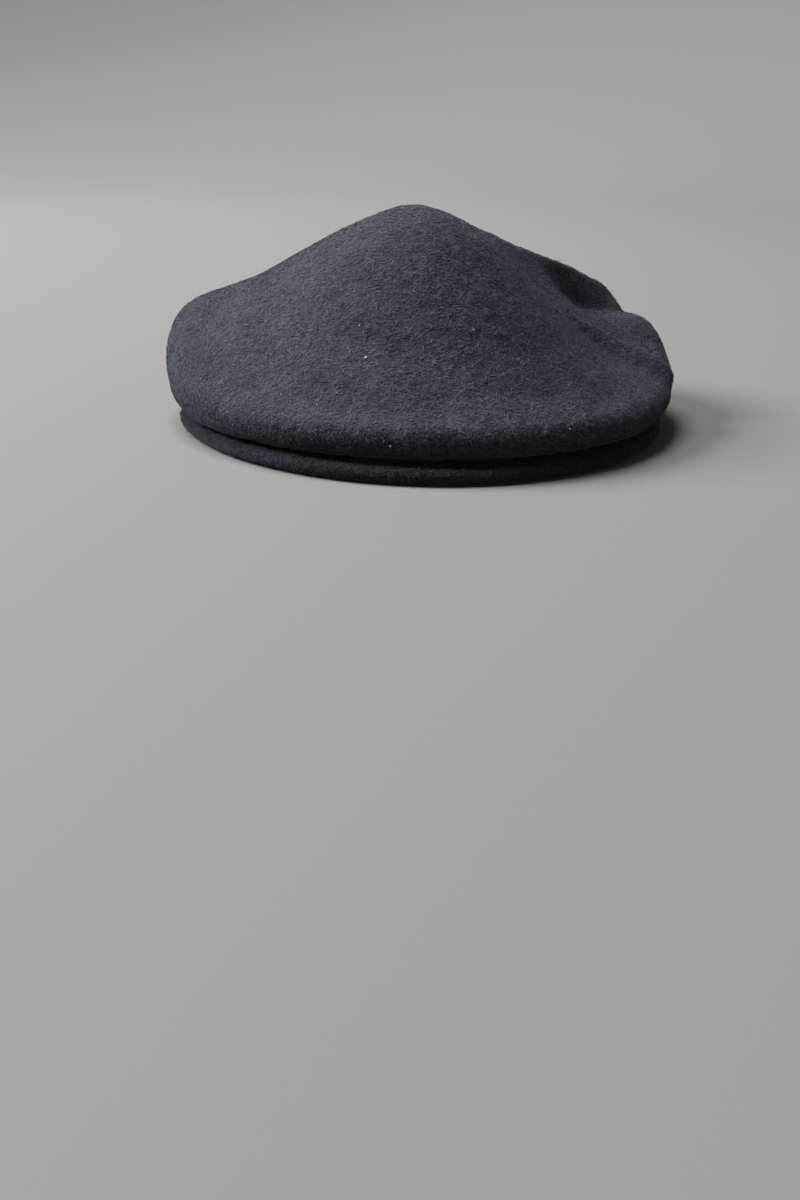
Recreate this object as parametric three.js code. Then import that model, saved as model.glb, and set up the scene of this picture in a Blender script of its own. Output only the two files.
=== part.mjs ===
// Flat cap of boiled wool felt: a seamless one-piece crown over a crescent peak.
// Millimetres, +Z up. The cap faces -Y, +X is on the right of someone who looks at its front,
// and it stands by itself on Z = 0, on the foot of its hem and on the edge of its peak.
import * as THREE from "three";

// Driving dimensions
const FELT = 2.4; // wall of the crown
const APEX_HEIGHT = 107.5; // top of the crown above the surface that the cap stands on
const APEX_LEFT = 4.5; // how far the apex leans to the left
const APEX_BACK = 5; // and to the back
const HEAD_HALF_WIDTH = 84; // inside of the hem, a head of 58 cm
const HEAD_HALF_LENGTH = 98;
const HEM_CORNER = 1.6; // radius where the underside turns down into the hem
const SEAM_GAP = 0.3; // between the peak and the crown

const PEAK_HALF_WIDTH = 126.5;
const PEAK_REACH = 138; // front edge of the peak, from the middle of the head opening
const PEAK_THICKNESS = 6.8; // two felts over a stiffener
const PEAK_NOSE = 4.5; // how far from its edge the peak starts to round off
const PEAK_SEAM_RISE = 0.8; // how much higher the peak lies at its seam than at its edge
const PEAK_END = 102; // degrees from the front where the horns of the peak end
const PEAK_HORN = 20; // degrees over which a horn rounds off
const PEAK_TIP = 0.06; // share of the peak's width that is left at the tip of a horn
const MOST_NOSE = 0.5; // share of the peak's width that rounds off where a horn is narrow

// Mesh fineness
const PLAIN_STEP = 6; // degrees between sections of the crown
const FOLD_STEP = 2.5; // degrees between sections among the folds of the right side
const FOLDS_FROM = 60;
const FOLDS_TO = 120;
const TOP_ROWS = 16;
const ROLL_ROWS = 9;
const UNDER_ROWS = 2;
const CORNER_ROWS = 3;
const PEAK_STATIONS = 48;
const PEAK_FACE_STEPS = 5;
const PEAK_NOSE_STEPS = 5;

// Sections of the crown, from the front by way of the right to the back, a row for each fold.
// angle: degrees from the front. reach: widest point, from the middle of the head opening.
// rim: height of that point. rollIn, rollUp: size of the rounded rim above it.
// tuckIn, tuckDown: size of the rounded rim below it.
// slope: fall of the flank where it meets the rim, in degrees.
// upper, waist, lower: heights of the top where it is UPPER, WAIST and LOWER from the middle.
// hemTop: height of the hem that surrounds the head.
const [UPPER, WAIST, LOWER] = [35, 65, 95];
const COLUMNS = [
  "name", "angle", "reach", "rim", "rollIn", "rollUp", "tuckIn",
  "tuckDown", "slope", "upper", "waist", "lower", "hemTop",
];
const FIRST_SIZE = COLUMNS.indexOf("reach");
const SECTIONS = [
  ["front", 0, 132, 15.5, 16, 11, 7, 6.5, 26, 96.5, 72.5, 45, 9.5],
  ["front_right", 45, 132, 16, 16, 11, 7, 7, 26, 95.5, 71, 44.5, 9.5],
  ["right_front", 65, 131.5, 18.7, 14, 9.5, 8, 8.6, 28, 94, 68.4, 41.6, 10.3],
  ["right_fold", 70, 131.5, 19.5, 13, 9.5, 8, 9.5, 30, 93.5, 67.2, 41.8, 11.2],
  ["right_ridge", 77.5, 131.8, 24.8, 9, 11, 8, 12.8, 30, 93, 67.2, 48.6, 13],
  ["right_hollow", 82.5, 133.4, 24.5, 9, 6.5, 8, 12.5, 22, 93, 65, 43.4, 13.5],
  ["right_lobe", 100, 135, 31.5, 15, 19, 15, 17.5, 2, 94, 71.5, 51, 15.5],
  ["right_notch", 108, 132, 35, 16, 16, 16, 18.5, 6, 95, 77.5, 53, 15.5],
  ["right_shoulder", 117, 130, 37.5, 21, 29, 21, 20, 20, 96, 84, 74, 16.5],
  ["back_right", 145, 128, 38.5, 19, 28, 19, 20, 20, 98, 86.5, 73.5, 16.5],
  ["back", 180, 124, 37.5, 18, 27, 18, 20, 24, 99.5, 88.5, 73.5, 16.5],
  ["back_left", 225, 129, 35.5, 15, 25, 15, 20, 22, 98.5, 85.5, 69.5, 16.5],
  ["left", 262, 132.5, 32.5, 10, 22, 10, 21, 22, 96.5, 80.5, 64.5, 14.5],
  ["left_front", 290, 131.8, 24.5, 12, 16, 9, 16.5, 23, 96.5, 77.8, 57, 10],
  ["front_left", 315, 131.2, 16.5, 14, 12, 7, 7.8, 24, 96.5, 75.5, 50, 9],
].map((row) => Object.fromEntries(row.map((value, i) => [COLUMNS[i], value])));

const rad = THREE.MathUtils.degToRad;
const lerp = THREE.MathUtils.lerp;
const wrap = THREE.MathUtils.euclideanModulo;

// Height at x on the smooth curve between two knots, each with an x, a y and a slope.
function between(a, b, x) {
  const run = b.x - a.x;
  const t = (x - a.x) / run;
  const bend = a.slope * t * (1 - t) ** 2 - b.slope * t * t * (1 - t);
  return a.y + (b.y - a.y) * t * t * (3 - 2 * t) + run * bend;
}

// One row of a column as a knot. It is level at a peak or a hollow, so that nothing overshoots.
function columnKnot(name, row) {
  const count = SECTIONS.length;
  const at = (k) => SECTIONS[wrap(k, count)];
  const rate = (k) => (at(k + 1)[name] - at(k)[name]) / wrap(at(k + 1).angle - at(k).angle, 360);
  const [before, after] = [rate(row - 1), rate(row)];
  const slope = before * after > 0 ? (2 * before * after) / (before + after) : 0;
  return { x: at(row).angle + 360 * Math.floor(row / count), y: at(row)[name], slope };
}

// A column of the section table at any angle.
function column(name, angle) {
  const turn = wrap(angle, 360);
  const row = SECTIONS.findLastIndex((section) => section.angle <= turn);
  return between(columnKnot(name, row), columnKnot(name, row + 1), turn);
}

// Distance from the middle of the head opening to the hem's inner face, plus a margin.
function hemReach(angle, margin) {
  const [halfWidth, halfLength] = [HEAD_HALF_WIDTH + margin, HEAD_HALF_LENGTH + margin];
  const [s, c] = [Math.sin(rad(angle)), Math.cos(rad(angle))];
  return (halfWidth * halfLength) / Math.hypot(halfLength * s, halfWidth * c);
}

const place = (angle, reach, height) =>
  new THREE.Vector3(reach * Math.sin(rad(angle)), -reach * Math.cos(rad(angle)), height);

// Top of one section, from the apex to its shoulder, as (reach, height).
function topLine(s, shoulder) {
  const knots = [
    { x: 0, y: APEX_HEIGHT, slope: 0 },
    { x: UPPER, y: s.upper },
    { x: WAIST, y: s.waist },
    { x: LOWER, y: s.lower },
    { x: shoulder.x, y: shoulder.y, slope: -Math.tan(rad(s.slope)) },
  ];
  const rate = (k) => (knots[k + 1].y - knots[k].y) / (knots[k + 1].x - knots[k].x);
  for (let k = 1; k + 1 < knots.length; k++) {
    const share = (knots[k].x - knots[k - 1].x) / (knots[k + 1].x - knots[k - 1].x);
    knots[k].slope = lerp(rate(k - 1), rate(k), share);
  }
  const line = [];
  for (let i = 0; i < TOP_ROWS; i++) {
    const x = shoulder.x * (i / TOP_ROWS);
    const k = knots.findLastIndex((knot) => knot.x <= x);
    line.push(new THREE.Vector2(x, between(knots[k], knots[k + 1], x)));
  }
  return line;
}

// Outer line of one section of the crown, from the apex to the foot of the hem.
function sectionLine(s, hem) {
  const onRoll = (a) =>
    new THREE.Vector2(
      s.reach - (a > 0 ? s.rollIn : s.tuckIn) * (1 - Math.cos(a)),
      s.rim + (a > 0 ? s.rollUp : s.tuckDown) * Math.sin(a),
    );
  // The rim's roll starts where its tangent has the flank's slope.
  const rollStart = Math.atan2(s.rollUp, s.rollIn * Math.tan(rad(s.slope)));
  const rollEnd = -Math.PI / 2;
  const line = topLine(s, onRoll(rollStart));
  for (let i = 0; i < ROLL_ROWS; i++) line.push(onRoll(lerp(rollStart, rollEnd, i / ROLL_ROWS)));

  const underEnd = new THREE.Vector2(hem + HEM_CORNER, s.hemTop);
  for (let i = 0; i < UNDER_ROWS; i++) line.push(onRoll(rollEnd).lerp(underEnd, i / UNDER_ROWS));
  for (let i = 0; i <= CORNER_ROWS; i++) {
    const a = (Math.PI / 2) * (i / CORNER_ROWS);
    const [x, y] = [1 - Math.sin(a), Math.cos(a) - 1];
    line.push(new THREE.Vector2(hem + HEM_CORNER * x, s.hemTop + HEM_CORNER * y));
  }
  line.push(new THREE.Vector2(hem, 0));
  return line;
}

// Angles of the crown's sections, closer together among the folds.
function sectionAngles() {
  const angles = [];
  let angle = 0;
  while (angle < 360) {
    angles.push(angle);
    angle += angle >= FOLDS_FROM && angle < FOLDS_TO ? FOLD_STEP : PLAIN_STEP;
  }
  return angles;
}

// One section of the crown in space. The lean of the apex fades out towards the rim.
function crownSection(angle) {
  const s = Object.fromEntries(COLUMNS.slice(FIRST_SIZE).map((name) => [name, column(name, angle)]));
  return sectionLine(s, hemReach(angle, FELT)).map((p, row) => {
    const lean = row < TOP_ROWS ? (1 - p.x / s.reach) ** 2 : 0;
    const apexLean = new THREE.Vector3(-APEX_LEFT, APEX_BACK, 0).multiplyScalar(lean);
    return place(angle, p.x, p.y).add(apexLean);
  });
}

// Inner face of the crown: the outer face set in by the felt, with the foot of the hem kept level.
function innerRings(rings) {
  const last = rings.length - 1;
  return rings.map((ring, row) =>
    ring.map((p, i) => {
      if (row === 0) return p.clone().setZ(p.z - FELT);
      const left = ring[wrap(i + 1, ring.length)];
      const right = ring[wrap(i - 1, ring.length)];
      const above = rings[row - 1][i];
      const below = rings[Math.min(row + 1, last)][i];
      const normal = below.clone().sub(above).cross(left.clone().sub(right)).normalize();
      const q = p.clone().addScaledVector(normal, -FELT);
      return row === last ? q.setZ(p.z) : q;
    }),
  );
}

// A closed solid from rings of points, with a fan to a pole at each end of the list of rings.
function ringSolid(rings, firstPole, lastPole) {
  const count = rings[0].length;
  const points = [...rings.flat(), firstPole, lastPole];
  const index = [];
  const at = (row, i) => row * count + (i % count);
  for (let row = 0; row + 1 < rings.length; row++) {
    for (let i = 0; i < count; i++) {
      const [a, b, c, d] = [at(row, i), at(row, i + 1), at(row + 1, i + 1), at(row + 1, i)];
      index.push(a, d, b, b, d, c);
    }
  }
  const lastRow = rings.length - 1;
  const [first, last] = [points.length - 2, points.length - 1];
  for (let i = 0; i < count; i++) {
    index.push(first, at(0, i), at(0, i + 1));
    index.push(last, at(lastRow, i + 1), at(lastRow, i));
  }
  const geometry = new THREE.BufferGeometry().setFromPoints(points);
  geometry.setIndex(index);
  geometry.computeVertexNormals();
  return geometry;
}

// The crown: one wall from the apex over the rim to the foot of the hem, and back inside.
function crownGeometry() {
  const sections = sectionAngles().map(crownSection);
  const outer = sections[0].map((_, row) => sections.map((section) => section[row]));
  const inner = innerRings(outer);
  const rings = [...outer.slice(1), ...inner.slice(1).reverse()];
  return ringSolid(rings, outer[0][0], inner[0][0]);
}

// One closed section of the peak, from its seam over the top to its nose and back underneath.
function peakSection(angle) {
  const seam = place(angle, hemReach(angle, FELT + SEAM_GAP), 0);
  const edge = new THREE.Vector3(
    PEAK_HALF_WIDTH * Math.sin(rad(angle)),
    -PEAK_REACH * Math.cos(rad(angle)),
    0,
  );
  const pastHorn = Math.max(0, Math.abs(angle) - (PEAK_END - PEAK_HORN)) / PEAK_HORN;
  const width = Math.max(Math.sqrt(1 - pastHorn ** 2), PEAK_TIP);
  const across = edge.sub(seam).multiplyScalar(width);
  const half = PEAK_THICKNESS / 2;
  const nose = Math.min(PEAK_NOSE / across.length(), MOST_NOSE);
  const ring = [];
  const add = (share, side) => {
    const p = seam.clone().addScaledVector(across, share);
    ring.push(p.setZ(PEAK_SEAM_RISE * (1 - share) + half * (1 + side)));
  };
  for (let i = 0; i <= PEAK_FACE_STEPS; i++) add((1 - nose) * (i / PEAK_FACE_STEPS), 1);
  for (let i = 1; i < PEAK_NOSE_STEPS; i++) {
    const a = Math.PI * (i / PEAK_NOSE_STEPS);
    add(1 - nose + nose * Math.sin(a), Math.cos(a));
  }
  for (let i = PEAK_FACE_STEPS; i >= 0; i--) add((1 - nose) * (i / PEAK_FACE_STEPS), -1);
  return ring;
}

function peakGeometry() {
  const rings = [];
  for (let i = 0; i <= PEAK_STATIONS; i++) {
    const turn = Math.PI * (0.5 - i / PEAK_STATIONS); // closer together at the horns
    rings.push(peakSection(PEAK_END * Math.sin(turn)));
  }
  const middle = (ring) => new THREE.Box3().setFromPoints(ring).getCenter(new THREE.Vector3());
  return ringSolid(rings, middle(rings[0]), middle(rings.at(-1)));
}

// Dark navy felt in even light
const crownFelt = new THREE.MeshStandardMaterial({ color: 0x3d3e48, roughness: 0.95, metalness: 0 });
const peakFelt = new THREE.MeshStandardMaterial({ color: 0x36373f, roughness: 0.95, metalness: 0 });

const cap = new THREE.Group();

function addPiece(name, geometry, material) {
  const mesh = new THREE.Mesh(geometry, material);
  mesh.name = name;
  cap.add(mesh);
}

addPiece("crown", crownGeometry(), crownFelt);
addPiece("peak", peakGeometry(), peakFelt);

// The origin is the middle of the cap's footprint.
const box = new THREE.Box3().setFromObject(cap);
const middle = box.getCenter(new THREE.Vector3());
cap.position.set(-middle.x, -middle.y, -box.min.z);

export default cap;
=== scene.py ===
# Looks of a boiled wool flat cap: nubby felt with its nap, a pale studio and the camera.
import math

import bpy
import numpy as np
from mathutils import Matrix, Vector, noise
from mathutils.bvhtree import BVHTree


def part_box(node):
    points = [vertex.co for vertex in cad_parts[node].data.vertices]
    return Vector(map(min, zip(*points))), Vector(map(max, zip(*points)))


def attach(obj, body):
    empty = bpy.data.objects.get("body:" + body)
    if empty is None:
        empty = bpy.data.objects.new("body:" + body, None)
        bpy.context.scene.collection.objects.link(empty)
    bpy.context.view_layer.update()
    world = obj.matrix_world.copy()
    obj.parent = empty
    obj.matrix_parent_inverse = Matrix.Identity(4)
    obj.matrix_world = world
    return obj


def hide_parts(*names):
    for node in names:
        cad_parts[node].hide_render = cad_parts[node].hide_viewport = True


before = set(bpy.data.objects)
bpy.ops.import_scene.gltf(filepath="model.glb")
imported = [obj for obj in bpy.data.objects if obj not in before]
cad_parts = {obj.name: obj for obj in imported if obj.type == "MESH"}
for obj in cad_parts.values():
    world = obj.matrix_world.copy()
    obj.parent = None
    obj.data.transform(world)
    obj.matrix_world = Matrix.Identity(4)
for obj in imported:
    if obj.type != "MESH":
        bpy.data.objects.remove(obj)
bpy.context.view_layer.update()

MM = 0.001  # the sizes below are in millimetres, and Blender's are in metres
SEED = 11

# Driving sizes of the cap, as in its solids
FELT = 2.4
APEX_HEIGHT = 107.5
APEX_LEAN = np.array([-4.5, 5, 0])
HEAD_HALF_WIDTH = 84
HEAD_HALF_LENGTH = 98
HEM_CORNER = 1.6
SEAM_GAP = 0.3
PEAK_HALF_WIDTH = 126.5
PEAK_REACH = 138
PEAK_THICKNESS = 6.8
PEAK_NOSE = 4.5
PEAK_SEAM_RISE = 0.8
PEAK_END = 102
PEAK_HORN = 20
PEAK_TIP = 0.06
MOST_NOSE = 0.5

# Sections of the crown, from the front by way of the right to the back, a row for each fold.
# angle: degrees from the front. reach: widest point, from the middle of the head opening.
# rim: height of that point. roll_in, roll_up: size of the rounded rim above it.
# tuck_in, tuck_down: size of the rounded rim below it.
# slope: fall of the flank where it meets the rim, in degrees.
# upper, waist, lower: heights of the top where it is UPPER, WAIST and LOWER from the middle.
# hem_top: height of the hem that surrounds the head.
UPPER, WAIST, LOWER = 35, 65, 95
COLUMNS = (
    "angle", "reach", "rim", "roll_in", "roll_up", "tuck_in", "tuck_down",
    "slope", "upper", "waist", "lower", "hem_top",
)
SECTIONS = np.array([
    (0, 132, 15.5, 16, 11, 7, 6.5, 26, 96.5, 72.5, 45, 9.5),  # front
    (45, 132, 16, 16, 11, 7, 7, 26, 95.5, 71, 44.5, 9.5),
    (65, 131.5, 18.7, 14, 9.5, 8, 8.6, 28, 94, 68.4, 41.6, 10.3),
    (70, 131.5, 19.5, 13, 9.5, 8, 9.5, 30, 93.5, 67.2, 41.8, 11.2),
    (77.5, 131.8, 24.8, 9, 11, 8, 12.8, 30, 93, 67.2, 48.6, 13),  # ridge on the right
    (82.5, 133.4, 24.5, 9, 6.5, 8, 12.5, 22, 93, 65, 43.4, 13.5),  # hollow
    (100, 135, 31.5, 15, 19, 15, 17.5, 2, 94, 71.5, 51, 15.5),  # lobe
    (108, 132, 35, 16, 16, 16, 18.5, 6, 95, 77.5, 53, 15.5),  # notch
    (117, 130, 37.5, 21, 29, 21, 20, 20, 96, 84, 74, 16.5),  # shoulder
    (145, 128, 38.5, 19, 28, 19, 20, 20, 98, 86.5, 73.5, 16.5),
    (180, 124, 37.5, 18, 27, 18, 20, 24, 99.5, 88.5, 73.5, 16.5),  # back
    (225, 129, 35.5, 15, 25, 15, 20, 22, 98.5, 85.5, 69.5, 16.5),
    (262, 132.5, 32.5, 10, 22, 10, 21, 22, 96.5, 80.5, 64.5, 14.5),  # left
    (290, 131.8, 24.5, 12, 16, 9, 16.5, 23, 96.5, 77.8, 57, 10),
    (315, 131.2, 16.5, 14, 12, 7, 7.8, 24, 96.5, 75.5, 50, 9),
])
TABLE = dict(zip(COLUMNS, SECTIONS.T))

# Fineness of the meshes
TURN_STEPS = 640  # points round the crown's rim
MOST_STRIDE = 128  # round the apex every so many of them are kept
LEAST_CELL = 0.75  # a ring with narrower cells than this keeps every second point
TOP_ROWS = 114
ROLL_ROWS = 30
UNDER_ROWS = 14
CORNER_ROWS = 3
HEM_ROWS = 4
FOOT_ROWS = 5
UNDER_STRIDE = 2
INNER_STRIDE = 4
INNER_EVERY = 3  # rows of the outer face for each one of the inner face
PEAK_STATIONS = 420
PEAK_FACE_STEPS = 40
PEAK_NOSE_STEPS = 10

# Unevenness that the meshes hold: size of the waves and their height
LUMPS = ((9.0, 0.30), (4.2, 0.26))
LUMPS_FADE = 7.0  # the unevenness fades below this height, so that the foot stays level

# Bake map of the crown: middle and radius of the discs that hold its outer and inner face
OUTER_DISC = (0.37, 0.37, 0.36)
INNER_DISC = (0.79, 0.79, 0.2)
# Bake map of the peak: width of each of its two faces, and how far apart they lie
PEAK_MAP_WIDTH = 0.49
PEAK_MAP_APART = 0.5
BAKE_MAP = "OFBake"

# Photograph's frame in pixels, and the camera that sees the cap as it does
PHOTO_WIDTH, PHOTO_HEIGHT = 800, 1200
FOCAL_PIXELS = 1250
CAMERA_AZIMUTH, CAMERA_PITCH, CAMERA_ROLL = -4, 21.6, 1.2
AIM_POINT = (-0.4, 6.6, 52.5)  # a point inside the cap
AIM_PIXEL = (422.5, 316)  # where the photograph has it
AIM_DEPTH = 655
SENSOR_HEIGHT = 36


def between(a, b, x):
    """Height at x on the smooth curve between two knots, each an x, a y and a slope."""
    run = b[0] - a[0]
    t = (x - a[0]) / run
    bend = a[2] * t * (1 - t) ** 2 - b[2] * t * t * (1 - t)
    return a[1] + (b[1] - a[1]) * t * t * (3 - 2 * t) + run * bend


def column(name, angles):
    """A column of the section table at any angles. It is level at a peak or a hollow."""
    x = np.append(TABLE["angle"], TABLE["angle"][0] + 360)
    y = np.append(TABLE[name], TABLE[name][0])
    after = np.diff(y) / np.diff(x)
    before = np.roll(after, 1)
    onward = before * after > 0
    slope = np.where(onward, 2 * before * after / np.where(onward, before + after, 1), 0)
    slope = np.append(slope, slope[0])
    k = np.searchsorted(x, angles, side="right") - 1
    return between((x[k], y[k], slope[k]), (x[k + 1], y[k + 1], slope[k + 1]), angles)


def hem_reach(angles, margin):
    """Distance from the middle of the head opening to the hem's inner face, plus a margin."""
    half_width = HEAD_HALF_WIDTH + margin
    half_length = HEAD_HALF_LENGTH + margin
    turn = np.radians(angles)
    return half_width * half_length / np.hypot(half_length * np.sin(turn), half_width * np.cos(turn))


def place(angles, reach, height):
    """Points at angles round the middle of the head opening, at a reach and a height."""
    turn = np.radians(angles)
    parts = np.broadcast_arrays(reach * np.sin(turn), -reach * np.cos(turn), height)
    return np.stack(parts, axis=-1)


def steps(count, ends=False):
    """Even shares of the way from 0 towards 1, as a column."""
    return np.linspace(0, 1, count, endpoint=ends)[:, None]


def top_line(s, shoulder_x, shoulder_y):
    """Reach and height of the top of every section, from the apex to the shoulder."""
    x = [0 * shoulder_x, UPPER, WAIST, LOWER, shoulder_x]
    y = [APEX_HEIGHT, s["upper"], s["waist"], s["lower"], shoulder_y]
    spans = range(len(x) - 1)
    rate = [(y[k + 1] - y[k]) / (x[k + 1] - x[k]) for k in spans]
    slope = [0]
    for k in spans[1:]:
        share = (x[k] - x[k - 1]) / (x[k + 1] - x[k - 1])
        slope.append(rate[k - 1] + (rate[k] - rate[k - 1]) * share)
    slope.append(-np.tan(np.radians(s["slope"])))
    knots = list(zip(x, y, slope))
    reach = shoulder_x * steps(TOP_ROWS)
    heights = [between(knots[k], knots[k + 1], reach) for k in spans]
    return reach, np.select([reach < x[k + 1] for k in spans], heights, heights[-1])


def section_lines(s, hem):
    """Reach and height of every section's outer face, a row for each step from apex to hem."""
    def on_roll(a):
        inward = np.where(a > 0, s["roll_in"], s["tuck_in"])
        rise = np.where(a > 0, s["roll_up"], s["tuck_down"])
        return s["reach"] - inward * (1 - np.cos(a)), s["rim"] + rise * np.sin(a)

    roll_start = np.arctan2(s["roll_up"], s["roll_in"] * np.tan(np.radians(s["slope"])))
    roll_end = np.full_like(hem, -np.pi / 2)
    lines = [top_line(s, *on_roll(roll_start))]
    lines.append(on_roll(roll_start + (roll_end - roll_start) * steps(ROLL_ROWS)))
    from_x, from_y = on_roll(roll_end)
    share = steps(UNDER_ROWS)
    under_x = from_x + (hem + HEM_CORNER - from_x) * share
    lines.append((under_x, from_y + (s["hem_top"] - from_y) * share))
    turn = np.pi / 2 * steps(CORNER_ROWS)
    corner_y = s["hem_top"] + HEM_CORNER * (np.cos(turn) - 1)
    lines.append((hem + HEM_CORNER * (1 - np.sin(turn)), corner_y))
    hem_y = s["hem_top"] - HEM_CORNER
    share = steps(HEM_ROWS, ends=True)
    lines.append((hem + 0 * share, hem_y + (FELT / 2 - hem_y) * share))
    return [np.vstack(rows) for rows in zip(*lines)]


def unit(vectors):
    return vectors / np.maximum(np.linalg.norm(vectors, axis=-1, keepdims=True), 1e-12)


def grid_normals(grid):
    """Outward normals of a grid of points, whose columns run round."""
    onward = np.gradient(grid, axis=0)
    around = np.roll(grid, -1, axis=1) - np.roll(grid, 1, axis=1)
    return unit(np.cross(onward, around))


def waves(points, size):
    """Smooth noise at points, in waves of a size."""
    return np.array([noise.noise(Vector(p) / size) for p in points])


def uneven(points, normals):
    """Points moved along their normals by the felt's unevenness."""
    amount = np.zeros(len(points))
    for size, height in LUMPS:
        amount += height * waves(points, size)
    fade = np.clip(points[:, 2] / LUMPS_FADE, 0, 1)
    return points + normals * (amount * fade)[:, None]


def stitch(first, count, second, next_count):
    """Faces between two rings, of which the second has as many points, twice or half as many."""
    i = np.arange(min(count, next_count))
    j = (i + 1) % len(i)
    start, middle, end = 2 * i, 2 * i + 1, (2 * i + 2) % (2 * len(i))
    if next_count == count:
        corners = [(first + i, second + i, second + j, first + j)]
    elif next_count > count:
        corners = [
            (first + i, second + start, second + middle),
            (first + i, second + middle, first + j),
            (first + j, second + middle, second + end),
        ]
    else:
        corners = [
            (first + start, second + i, first + middle),
            (first + middle, second + i, second + j),
            (first + middle, second + j, first + end),
        ]
    return [face for group in corners for face in np.stack(group, axis=1).tolist()]


def skin(rings):
    """Faces of a closed skin over rings of points, with a fan to a pole at each end."""
    starts = np.cumsum([0] + [len(ring) for ring in rings]).tolist()
    faces = []
    for k in range(len(rings) - 1):
        faces += stitch(starts[k], len(rings[k]), starts[k + 1], len(rings[k + 1]))
    first_pole, last_pole = starts[-1], starts[-1] + 1
    first_count, last_count = len(rings[0]), len(rings[-1])
    last_start = starts[-2]
    for i in range(first_count):
        faces.append([first_pole, i, (i + 1) % first_count])
    for i in range(last_count):
        faces.append([last_pole, last_start + (i + 1) % last_count, last_start + i])
    return faces


def ring_strides(reach):
    """For each row of the crown, how many of the steps round it lie between two points."""
    width = 2 * np.pi * reach.mean(axis=1) / TURN_STEPS
    strides = [1] * len(width)
    for row in range(len(width)):
        while width[row] * strides[row] < LEAST_CELL and strides[row] < MOST_STRIDE:
            strides[row] *= 2
    strides[TOP_ROWS + ROLL_ROWS:] = [UNDER_STRIDE] * len(strides[TOP_ROWS + ROLL_ROWS:])
    return strides


def disc_map(disc, angles, share):
    """Places on a disc of the bake map, at angles and at a share of its radius."""
    turn = np.radians(angles)
    across = disc[0] + disc[2] * share * np.sin(turn)
    return np.stack([across, disc[1] - disc[2] * share * np.cos(turn)], axis=-1)


def crown_mesh():
    """Points, faces and the bake map's places of the crown, about the middle of the head opening."""
    angles = np.arange(TURN_STEPS) * 360 / TURN_STEPS
    s = {name: column(name, angles) for name in COLUMNS[1:]}
    hem = hem_reach(angles, FELT)
    reach, height = section_lines(s, hem)
    outer = place(angles, reach, height)
    lean = (1 - reach / s["reach"]) ** 2
    lean[TOP_ROWS:] = 0
    outer += lean[..., None] * APEX_LEAN
    normals = grid_normals(outer)
    inner = outer - FELT * normals
    half = FELT / 2
    turn = np.pi * steps(FOOT_ROWS + 1)[1:]
    foot = place(angles, hem - half + half * np.cos(turn), half - half * np.sin(turn))

    run = np.cumsum(np.linalg.norm(np.diff(outer, axis=0), axis=-1).mean(axis=1))
    share = np.append(0, run) / (run[-1] + np.pi * half)
    strides = ring_strides(reach)
    rings, outer_map, inner_map = [], [], []

    def add(points, stride, outer_share, inner_share):
        rings.append(points)
        outer_map.append(disc_map(OUTER_DISC, angles[::stride], outer_share))
        inner_map.append(disc_map(INNER_DISC, angles[::stride], inner_share))

    for row in range(1, len(outer)):
        kept = slice(None, None, strides[row])
        add(uneven(outer[row, kept], normals[row, kept]), strides[row], share[row], 1)
    for row in range(FOOT_ROWS):
        add(foot[row, ::UNDER_STRIDE], UNDER_STRIDE, 1, 1)
    outer_count = sum(len(ring) for ring in rings)
    for row in range(len(outer) - 1, 0, -INNER_EVERY):
        stride = max(strides[row], INNER_STRIDE)
        points = uneven(inner[row, ::stride], -normals[row, ::stride])
        add(points, stride, 1, share[row])
    poles = np.array([outer[0, 0], outer[0, 0] - [0, 0, FELT]])
    faces = skin(rings)
    points = np.concatenate([*rings, poles])
    middles = [np.array([disc[:2]] * 2) for disc in (OUTER_DISC, INNER_DISC)]
    maps = [np.concatenate([*outer_map, middles[0]]), np.concatenate([*inner_map, middles[1]])]
    places = []
    for face in faces:
        chosen = maps[min(face) >= outer_count]
        places.extend(chosen[face].tolist())
    return points, faces, places, outer_count


def peak_mesh():
    """Points, faces and the bake map's places of the peak, about the middle of the head opening."""
    turn = np.pi * (0.5 - np.arange(PEAK_STATIONS + 1) / PEAK_STATIONS)
    angles = PEAK_END * np.sin(turn)
    seam = place(angles, hem_reach(angles, FELT + SEAM_GAP), 0)
    edge = place(angles, 1, 0) * [PEAK_HALF_WIDTH, PEAK_REACH, 0]
    past_horn = np.maximum(0, np.abs(angles) - (PEAK_END - PEAK_HORN)) / PEAK_HORN
    width = np.maximum(np.sqrt(1 - past_horn ** 2), PEAK_TIP)
    across = (edge - seam) * width[:, None]
    half = PEAK_THICKNESS / 2
    nose = np.minimum(PEAK_NOSE / np.linalg.norm(across, axis=1), MOST_NOSE)

    flat = np.linspace(0, 1, PEAK_FACE_STEPS + 1)
    round_off = np.pi * np.arange(1, PEAK_NOSE_STEPS) / PEAK_NOSE_STEPS
    shares, sides = [], []
    for share in flat:
        shares.append((1 - nose) * share)
        sides.append(1)
    for a in round_off:
        shares.append(1 - nose + nose * np.sin(a))
        sides.append(np.cos(a))
    for share in flat[::-1]:
        shares.append((1 - nose) * share)
        sides.append(-1)
    share = np.stack(shares, axis=1)
    grid = seam[:, None] + across[:, None] * share[..., None]
    grid[..., 2] = PEAK_SEAM_RISE * (1 - share) + half * (1 + np.array(sides))
    rings = [uneven(*pair) for pair in zip(grid, grid_normals(grid))]
    poles = np.array([grid[0].mean(axis=0), grid[-1].mean(axis=0)])
    faces = skin(rings)
    points = np.concatenate([*rings, poles])
    low = points.min(axis=0)
    size = points.max(axis=0) - low
    flat_map = (points - low)[:, :2] / size[0]
    ring_size = len(sides)
    places = []
    for face in faces:
        below = face[0] % ring_size >= ring_size // 2
        places.extend((flat_map[face] * PEAK_MAP_WIDTH + [0, PEAK_MAP_APART * below]).tolist())
    return points, faces, places


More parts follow.
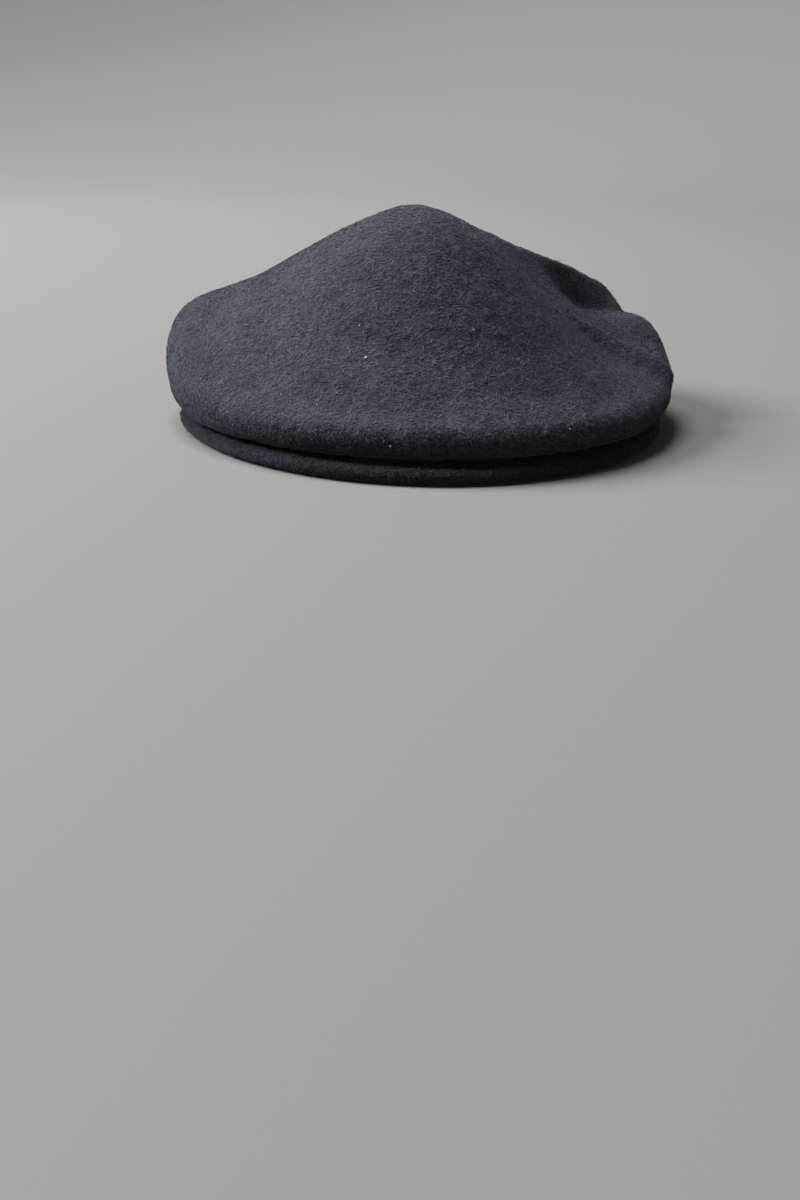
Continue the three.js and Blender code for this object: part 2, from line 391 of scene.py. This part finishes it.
def new_object(name, points, faces, materials):
    """A smooth mesh object, with its points in millimetres in the row's frame."""
    mesh = bpy.data.meshes.new(name)
    mesh.from_pydata((points * MM).tolist(), [], faces)
    mesh.shade_smooth()
    for material in materials:
        mesh.materials.append(material)
    piece = bpy.data.objects.new(name, mesh)
    bpy.context.scene.collection.objects.link(piece)
    return piece


def add_bake_map(piece, places):
    layer = piece.data.uv_layers.new(name=BAKE_MAP)
    layer.uv.foreach_set("vector", np.array(places, np.float32).ravel())


def add_node(tree, kind, settings=None, **values):
    """A shader node with its settings, and with values or links on its inputs."""
    node = tree.nodes.new(kind)
    for name, value in (settings or {}).items():
        setattr(node, name, value)
    for name, value in values.items():
        socket = node.inputs[name.replace("_", " ")]
        if isinstance(value, bpy.types.NodeSocket):
            tree.links.new(value, socket)
        else:
            socket.default_value = value
    return node


def linear(colour):
    """A colour written as 0xRRGGBB, in linear light with alpha."""
    parts = [(colour >> shift & 255) / 255 for shift in (16, 8, 0)]
    return [c / 12.92 if c <= 0.04045 else ((c + 0.055) / 1.055) ** 2.4 for c in parts] + [1]


def new_material(name):
    """A material and its shader."""
    material = bpy.data.materials.new(name)
    material.use_nodes = True
    return material, material.node_tree.nodes["Principled BSDF"]


# Surface of all the wool: no gloss, and the soft sheen of its fuzz
WOOL_SURFACE = {
    "Roughness": 0.95,
    "Specular IOR Level": 0.12,
    "Sheen Weight": 0.16,
    "Sheen Roughness": 0.35,
    "Sheen Tint": (0.74, 0.76, 1, 1),
}
# Tones of the felt in the hollows between nubs, on their flanks and on their tops, which paint shade in
# the hollows and a highlight on the tops: height and tone
HOLLOW_SHADE_TONE = (0.36, 0x28282f)
FLANK_TONE = (0.5, 0x3e3f49)
TOP_HIGHLIGHT_TONE = (0.66, 0x575963)
PAINTED_SHADE_HEIGHTS = (11, 24)  # painted shade: the wool is darker towards the lower of these
PAINTED_SHADE_SHARE = 0.4  # of its lightness that the painted shade leaves there
# Noise of the felt: size, detail and distortion
NUBS = (1.5, 2, 0.8)
CURLS = (0.6, 2, 2.5)
PATCHES = (34, 3, 0.4)
NOISE_ROUGHNESS = 0.6
CURLS_SHARE = 0.45  # of the felt's height, beside that of the nubs
PATCH_RANGE = (0.3, 0.7)  # of the noise of patches
PATCH_LIGHTNESS = (0.88, 1.12)  # at the ends of that range
BUMP_STRENGTH = 0.9
BUMP_DEPTH = 0.55


def wool_material(name):
    """A material of wool and its shader, which still lacks its tone."""
    material, shader = new_material(name)
    for socket, value in WOOL_SURFACE.items():
        shader.inputs[socket].default_value = value
    return material, shader


def felt(name):
    """Felted wool: curled fibres in small nubs, with a painted highlight on their tops and painted shade
    in their hollows, a slow change of tone, and painted shade low down.
    """
    material, shader = wool_material(name)
    tree = material.node_tree
    spot = tree.nodes.new("ShaderNodeTexCoord").outputs["Object"]

    def wool_noise(size, detail, distortion):
        node = add_node(
            tree, "ShaderNodeTexNoise", Vector=spot, Scale=1 / (size * MM), Detail=detail,
            Roughness=NOISE_ROUGHNESS, Distortion=distortion,
        )
        return node.outputs["Fac"]

    def change(value, span, shares):
        node = add_node(
            tree, "ShaderNodeMapRange", Value=value, From_Min=span[0], From_Max=span[1],
            To_Min=shares[0], To_Max=shares[1],
        )
        return node.outputs["Result"]

    mix = add_node(tree, "ShaderNodeMix", Factor=CURLS_SHARE, A=wool_noise(*NUBS), B=wool_noise(*CURLS))
    height = mix.outputs["Result"]
    # Painted shade and highlight: the tone follows the nubs' height, darker in the hollows and lighter
    # on the tops
    ramp = add_node(tree, "ShaderNodeValToRGB", Fac=height)
    hollow, top = ramp.color_ramp.elements
    hollow.position, hollow.color = HOLLOW_SHADE_TONE[0], linear(HOLLOW_SHADE_TONE[1])
    top.position, top.color = TOP_HIGHLIGHT_TONE[0], linear(TOP_HIGHLIGHT_TONE[1])
    flank = ramp.color_ramp.elements.new(FLANK_TONE[0])
    flank.color = linear(FLANK_TONE[1])
    above = add_node(tree, "ShaderNodeSeparateXYZ", Vector=spot).outputs["Z"]
    patches = change(wool_noise(*PATCHES), PATCH_RANGE, PATCH_LIGHTNESS)
    # Painted shade: the tone is scaled darker towards the lower heights, for the shade under the rim and
    # over the peak
    shade = change(above, np.array(PAINTED_SHADE_HEIGHTS) * MM, (PAINTED_SHADE_SHARE, 1))
    tone = ramp.outputs["Color"]
    for factor in (patches, shade):
        scaled = add_node(tree, "ShaderNodeVectorMath", {"operation": "SCALE"}, Scale=factor)
        tree.links.new(tone, scaled.inputs[0])
        tone = scaled.outputs["Vector"]
    tree.links.new(tone, shader.inputs["Base Color"])
    bump = add_node(
        tree, "ShaderNodeBump", Strength=BUMP_STRENGTH, Distance=BUMP_DEPTH * MM, Height=height,
    )
    tree.links.new(bump.outputs["Normal"], shader.inputs["Normal"])
    return material


def plain_wool(name, colour, share=1):
    """One tone of fibres, with a share of its lightness, which is below one for the darkened copies that
    paint shade.
    """
    material, shader = wool_material(name)
    shader.inputs["Base Color"].default_value = [c * share for c in linear(colour)[:3]] + [1]
    return material


# Nap of curled fibres: their tones from dark to pale, the share that each has, and their sizes
CURL_TONES = (0x38373f, 0x42454c, 0x50505b, 0x5d6168)
TONE_SHARES = (0.25, 0.4, 0.31, 0.04)
CURL_LENGTH = 2.3
CURL_SPREAD = 0.3  # of the lengths, as a share
CURL_WIDTH = (0.24, 0.5)
CURL_TURN = 0.9  # most usual turn at each bend, in radians
CURL_TILT = 0.27  # of the flat fibre to the felt, in radians
CURL_LIFT = (0.05, 0.4)  # of a curl between nubs and of one on a nub
LIFT_SPREAD = (0.6, 1.4)
TIP_LIFT = (-0.2, 1.2)  # as shares of the curl's lift
CURL_BENDS = ((-0.2, 0.7), (0.9, 1), (1, 0.9))  # shares of lift and width at the root and two bends
CURL_FACES = ((0, 1, 3, 2), (2, 3, 5, 4), (4, 5, 6))
CURL_POINTS = 2 * len(CURL_BENDS) + 1
NAP_LAY = 2  # how strongly the fibres lie round the crown
NUB_SPACING = 1.9
NUB_MIDDLE = 0.5
NUB_CONTRAST = 0.7
TONE_SCATTER = 0.11
NAP_PATCH_SIZE = 13
NAP_PATCH_SHARE = 0.35  # of the patches in the tones, beside the nubs
FLOOR_CLEARANCE = 0.1


def nub_share(points):
    """How far up a nub of the felt each point lies, from 0 to 1."""
    return np.clip(NUB_MIDDLE + NUB_CONTRAST * waves(points, NUB_SPACING), 0, 1)[:, None]


def curls(roots, normals, nub, rng, size=1):
    """Points and faces of flat fibres that curl over the felt, each narrowing to a tip."""
    count = len(roots)
    lay = NAP_LAY * np.cross([0, 0, 1], normals)
    side = unit(np.cross(normals, rng.normal(size=(count, 3)) + lay))
    way = np.cross(side, normals)
    stride = size * CURL_LENGTH / len(CURL_BENDS) * np.exp(rng.normal(0, CURL_SPREAD, (count, 1)))
    lift = (CURL_LIFT[0] + (CURL_LIFT[1] - CURL_LIFT[0]) * nub) * rng.uniform(*LIFT_SPREAD, (count, 1))
    turn = rng.normal(0, CURL_TURN, (count, 1))
    tilt = rng.normal(0, CURL_TILT, (count, 1))
    half_width = size * rng.uniform(*CURL_WIDTH, (count, 1)) / 2
    line = roots
    pairs = []
    for bend, (height, taper) in enumerate(CURL_BENDS):
        heading = turn * bend
        across = (side * np.cos(heading) - way * np.sin(heading)) * np.cos(tilt) + normals * np.sin(tilt)
        point = line + normals * lift * height
        pairs += [point - across * half_width * taper, point + across * half_width * taper]
        line = line + (way * np.cos(heading) + side * np.sin(heading)) * stride
    tip = line + normals * lift * rng.uniform(*TIP_LIFT, (count, 1))
    points = np.stack([*pairs, tip], axis=1)
    points[..., 2] = np.maximum(points[..., 2], FLOOR_CLEARANCE)
    first = np.arange(count)[:, None] * CURL_POINTS
    groups = [first + np.array(corners) for corners in CURL_FACES]
    faces = [face for group in groups for face in group.tolist()]
    return points.reshape(-1, 3), faces


def triples(parts, name, kind):
    """A value of every part of a mesh, where the value is three numbers."""
    values = np.empty(len(parts) * 3, kind)
    parts.foreach_get(name, values)
    return values.reshape(-1, 3)


def roots_on(piece, count, wanted, rng):
    """Random points on the wanted triangles of a piece, with its normals there."""
    mesh = piece.data
    mesh.calc_loop_triangles()
    corners = triples(mesh.loop_triangles, "vertices", np.int32)
    points = triples(mesh.vertices, "co", np.float32).astype(float) / MM
    normals = triples(mesh.vertex_normals, "vector", np.float32).astype(float)
    a, b, c = (points[corners[:, k]] for k in range(3))
    facing = np.cross(b - a, c - a)
    area = np.linalg.norm(facing, axis=1) * wanted(corners, (a + b + c) / 3, unit(facing))
    chosen = rng.choice(len(corners), count, p=area / area.sum())
    u, v = rng.random((2, count, 1))
    over = u + v > 1
    u, v = np.where(over, 1 - u, u), np.where(over, 1 - v, v)
    weights = (1 - u - v, u, v)
    roots = sum(w * points[corners[chosen, k]] for k, w in enumerate(weights))
    ways = sum(w * normals[corners[chosen, k]] for k, w in enumerate(weights))
    return roots, unit(ways)


def add_nap(name, piece, count, wanted, materials):
    """A field of curls on a piece, in the tones of its wool: random tones, with a painted highlight on
    the nubs and painted shade low down.
    """
    rng = np.random.default_rng([SEED, count, *name.encode()])
    roots, normals = roots_on(piece, count, wanted, rng)
    nub = nub_share(roots)
    nap = new_object(name, *curls(roots, normals, nub, rng), materials)
    patches = NAP_PATCH_SHARE * waves(roots, NAP_PATCH_SIZE)
    # Tones follow the nubs' height, as a painted highlight on them and painted shade between them, with
    # slow patches and random scatter
    level = nub[:, 0] + patches + rng.normal(0, TONE_SCATTER, count)
    limits = np.quantile(level, np.cumsum(TONE_SHARES)[:-1])
    # Painted shade: curls low down take the darkened copies of the tones
    dark = rng.random(count) < np.interp(roots[:, 2], PAINTED_SHADE_HEIGHTS, (1, 0))
    tones = np.searchsorted(limits, level) + len(CURL_TONES) * dark
    nap.data.polygons.foreach_set("material_index", np.tile(tones, len(CURL_FACES)).astype(np.int32))
    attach(nap, "root")


# The cap: its two pieces of felt, where their solids are
crown_points, crown_faces, crown_places, crown_outer = crown_mesh()
crown_low, crown_high = (np.array(corner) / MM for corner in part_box("crown"))
own_middle = (crown_points.min(axis=0) + crown_points.max(axis=0)) / 2
HEAD_MIDDLE = ((crown_low + crown_high) / 2 - own_middle) * [1, 1, 0]

crown = new_object("crown_felt", crown_points + HEAD_MIDDLE, crown_faces, [felt("boiled_wool")])
add_bake_map(crown, crown_places)
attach(crown, "root")
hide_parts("crown")

peak_points, peak_faces, peak_places = peak_mesh()
# The peak lies wholly below the lower of the painted shade's heights, so all its felt and nap are
# painted darker
peak = new_object("peak_felt", peak_points + HEAD_MIDDLE, peak_faces, [felt("peak_wool")])
add_bake_map(peak, peak_places)
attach(peak, "root")
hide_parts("peak")

# Nap of the crown, a quarter at a time, and of the peak
UNDERSIDE = -0.5  # a face whose normal rises less than this is on the rim's underside
UNDERSIDE_SHARE = 0.25  # of the nap there, beside that on the rest
PEAK_UNDERSIDE = -0.6  # the same for the peak, where the underside has no nap
PEAK_NAP_FOOT = PEAK_THICKNESS / 4  # the peak's nap starts at this height
QUARTERS = ("front", "right", "back", "left")
QUARTER_TURN = 360 / len(QUARTERS)
CROWN_CURLS = 27000  # in each quarter
PEAK_CURLS = 18000

nap_wool = [plain_wool(f"nap_tone_{i}", tone) for i, tone in enumerate(CURL_TONES)]
# Darkened copies of the tones, for the painted shade low down
nap_wool += [plain_wool(f"painted_shade_nap_tone_{i}", tone, PAINTED_SHADE_SHARE) for i, tone in enumerate(CURL_TONES)]


def in_quarter(number):
    """Weights of the crown's triangles for the nap of one quarter of it."""
    def weights(corners, middles, normals):
        spot = middles - HEAD_MIDDLE
        turn = np.degrees(np.arctan2(spot[:, 0], -spot[:, 1]))
        inside = np.round(turn / QUARTER_TURN) % len(QUARTERS) == number
        on_outer = corners.max(axis=1) < crown_outer
        above = middles[:, 2] > FELT
        return (inside & on_outer & above) * np.where(normals[:, 2] < UNDERSIDE, UNDERSIDE_SHARE, 1)
    return weights


def on_peak(corners, middles, normals):
    """Weights of the peak's triangles for its nap."""
    return (normals[:, 2] > PEAK_UNDERSIDE) & (middles[:, 2] > PEAK_NAP_FOOT)


for number, quarter in enumerate(QUARTERS):
    add_nap(f"crown_nap_{quarter}", crown, CROWN_CURLS, in_quarter(number), nap_wool)
add_nap("peak_nap", peak, PEAK_CURLS, on_peak, nap_wool)


# Camera
def pixel_way(pixel, right, up, forward):
    """Way from the camera through a pixel of the photograph."""
    across = (pixel[0] - PHOTO_WIDTH / 2) / FOCAL_PIXELS
    down = (pixel[1] - PHOTO_HEIGHT / 2) / FOCAL_PIXELS
    return forward + right * across - up * down


def camera_axes():
    """Right, up and forward of the camera, and its place in millimetres."""
    azimuth, pitch, roll = (math.radians(a) for a in (CAMERA_AZIMUTH, CAMERA_PITCH, CAMERA_ROLL))
    level = math.cos(pitch)
    forward = -Vector((math.sin(azimuth) * level, -math.cos(azimuth) * level, math.sin(pitch)))
    side = forward.cross(Vector((0, 0, 1))).normalized()
    over = side.cross(forward)
    right = side * math.cos(roll) + over * math.sin(roll)
    up = over * math.cos(roll) - side * math.sin(roll)
    eye = Vector(AIM_POINT) - AIM_DEPTH * pixel_way(AIM_PIXEL, right, up, forward)
    return right, up, forward, eye


def add_camera():
    """The camera, with the photograph's view of the cap."""
    right, up, forward, eye = camera_axes()
    lens = bpy.data.cameras.new("photo_camera")
    lens.sensor_fit = "VERTICAL"
    lens.sensor_height = SENSOR_HEIGHT
    lens.lens = SENSOR_HEIGHT * FOCAL_PIXELS / PHOTO_HEIGHT
    camera = bpy.data.objects.new("photo_camera", lens)
    turn = Matrix((right, up, -forward)).transposed()
    camera.matrix_world = Matrix.LocRotScale(eye * MM, turn.to_quaternion(), None)
    bpy.context.scene.collection.objects.link(camera)
    bpy.context.scene.camera = camera


# Specks of lint on the crown: where the photograph has them, in pixels, and their width
LINT = (
    ((365, 358), 0.85),
    ((359, 326), 0.4),
    ((473, 330), 0.36),
    ((317, 405), 0.4),
    ((390, 446), 0.55),
    ((569, 429), 0.45),
)
LINT_TONE = 0xf6f6f4
LINT_FIBRES = 26
LINT_SPREAD = 5  # the width over this is the scatter of the fibres


def add_lint():
    """Small tufts of pale fibres that lie on the crown."""
    rng = np.random.default_rng([SEED, len(LINT)])
    felt_tree = BVHTree.FromObject(crown, bpy.context.evaluated_depsgraph_get())
    *axes, eye = camera_axes()
    roots, normals, sizes = [], [], []
    for pixel, width in LINT:
        spot, normal, _, _ = felt_tree.ray_cast(eye * MM, pixel_way(pixel, *axes).normalized())
        roots.append(np.array(spot) / MM + rng.normal(0, width / LINT_SPREAD, (LINT_FIBRES, 3)))
        normals.append(np.tile(normal, (LINT_FIBRES, 1)))
        sizes.append(np.full((LINT_FIBRES, 1), width / CURL_LENGTH))
    roots = np.concatenate(roots)
    sizes = np.concatenate(sizes)
    points, faces = curls(roots, np.concatenate(normals), np.ones((len(roots), 1)), rng, sizes)
    lint = new_object("lint_specks", points, faces, [plain_wool("lint", LINT_TONE)])
    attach(lint, "root")


# Studio: a pale floor that sweeps up all round, and soft light from the left and behind
FLOOR_RADIUS = 1700
FLOOR_RINGS = (0.25, 0.5, 0.75)  # shares of that radius
SWEEP_RADIUS = 700
SWEEP_STEPS = 12
WALL_HEIGHT = 900
STUDIO_SIDES = 96
FLOOR_TONE = 0x7a7977
FLOOR_ROUGHNESS = 0.85


def add_studio():
    """The floor, which isn't part of the cap."""
    profile = [(FLOOR_RADIUS * share, 0) for share in FLOOR_RINGS]
    for i in range(SWEEP_STEPS + 1):
        a = math.pi / 2 * i / SWEEP_STEPS
        profile.append((FLOOR_RADIUS + SWEEP_RADIUS * math.sin(a), SWEEP_RADIUS * (1 - math.cos(a))))
    profile.append((FLOOR_RADIUS + SWEEP_RADIUS, WALL_HEIGHT))
    angles = np.arange(STUDIO_SIDES) * 360 / STUDIO_SIDES
    points = np.concatenate([*(place(angles, r, z) for r, z in profile), [[0, 0, 0]]])
    faces = []
    for row in range(len(profile) - 1):
        faces += stitch(row * STUDIO_SIDES, STUDIO_SIDES, (row + 1) * STUDIO_SIDES, STUDIO_SIDES)
    centre = len(points) - 1
    faces += [[centre, i, (i + 1) % STUDIO_SIDES] for i in range(STUDIO_SIDES)]
    paper, shader = new_material("studio_paper")
    shader.inputs["Base Color"].default_value = linear(FLOOR_TONE)
    shader.inputs["Roughness"].default_value = FLOOR_ROUGHNESS
    floor = new_object("studio_floor", points, faces, [paper])


# Lights: their direction in degrees from the front and above the floor, distance and width in
# millimetres, and watts
LIGHT_AIM = Vector((0, 0, 40)) * MM
LIGHTS = (
    ("key_light", -107, 35, 4500, 2300, 370),
    ("top_light", -148, 66, 4500, 2300, 195),
)
SKY_TONE = (0.86, 0.9, 1, 1)
SKY_STRENGTH = 0.05


def add_lights():
    """The lamps, and the faint light of the room."""
    for name, azimuth, elevation, distance, width, power in LIGHTS:
        light = bpy.data.lights.new(name, "AREA")
        light.shape = "DISK"
        light.size = width * MM
        light.energy = power
        rise = math.radians(elevation)
        lamp = bpy.data.objects.new(name, light)
        spot = place(azimuth, distance * math.cos(rise), distance * math.sin(rise))
        lamp.location = LIGHT_AIM + Vector(spot) * MM
        lamp.rotation_euler = (LIGHT_AIM - lamp.location).to_track_quat("-Z", "Y").to_euler()
        bpy.context.scene.collection.objects.link(lamp)
    world = bpy.data.worlds.new("studio_air")
    world.use_nodes = True
    sky = world.node_tree.nodes["Background"]
    sky.inputs["Color"].default_value = SKY_TONE
    sky.inputs["Strength"].default_value = SKY_STRENGTH
    bpy.context.scene.world = world


add_lint()
add_studio()
add_lights()
add_camera()
bpy.context.scene.view_settings.view_transform = "Standard"

bpy.context.view_layer.update()
